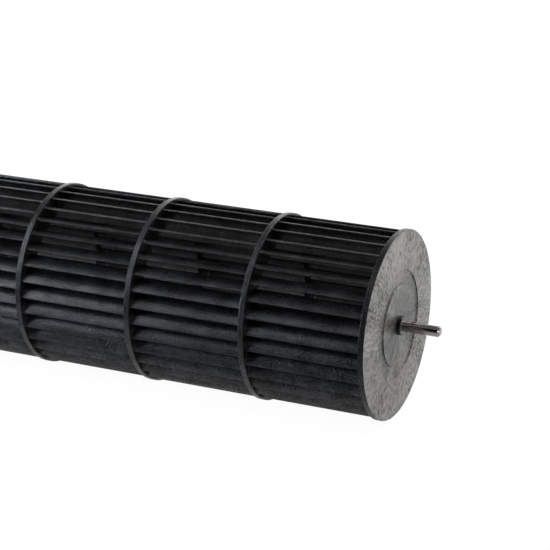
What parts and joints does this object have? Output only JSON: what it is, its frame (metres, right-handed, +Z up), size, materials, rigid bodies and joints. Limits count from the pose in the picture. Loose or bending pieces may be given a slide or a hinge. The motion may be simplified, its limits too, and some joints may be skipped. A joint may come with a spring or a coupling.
{
  "type": "cross flow fan",
  "caption": "Long tangential fan wheel: rows of swept blades between flat rings, closed by end plates, with a rubber-mounted hub at one end and a steel journal at the other.",
  "frame": {"origin": "centre of the motor shaft bore at its mouth, level with the outer face of the motor end plate", "axes": "+X along the wheel's axis from the motor end to the journal, +Z up, blades swept forward round +X by the right-hand rule"},
  "size_m": [0.576, 0.105, 0.105],
  "materials": {
    "blade_plastic": "moulded glass-filled plastic, near black, satin",
    "end_plate_plastic": "moulded glass-filled plastic, grey, with fine radial flow marks",
    "journal_steel": "ground steel, bright",
    "damper_rubber": "moulded rubber, matt black",
    "hub_metal": "turned, satin",
    "screw_steel": "blackened steel"
  },
  "bodies": {
    "root": {"motor_end_wheel": "blade_plastic", "idler_end_plate": "end_plate_plastic", "idler_journal": "journal_steel", "rubber_damper": "damper_rubber", "hub": "hub_metal", "clamp_screw": "screw_steel", "blade_ring_2": "blade_plastic", "blade_ring_3": "blade_plastic", "blade_ring_4": "blade_plastic", "blade_ring_5": "blade_plastic", "blade_ring_6": "blade_plastic", "blade_ring_7": "blade_plastic", "blade_ring_8": "blade_plastic"}
  },
  "joints": []
}
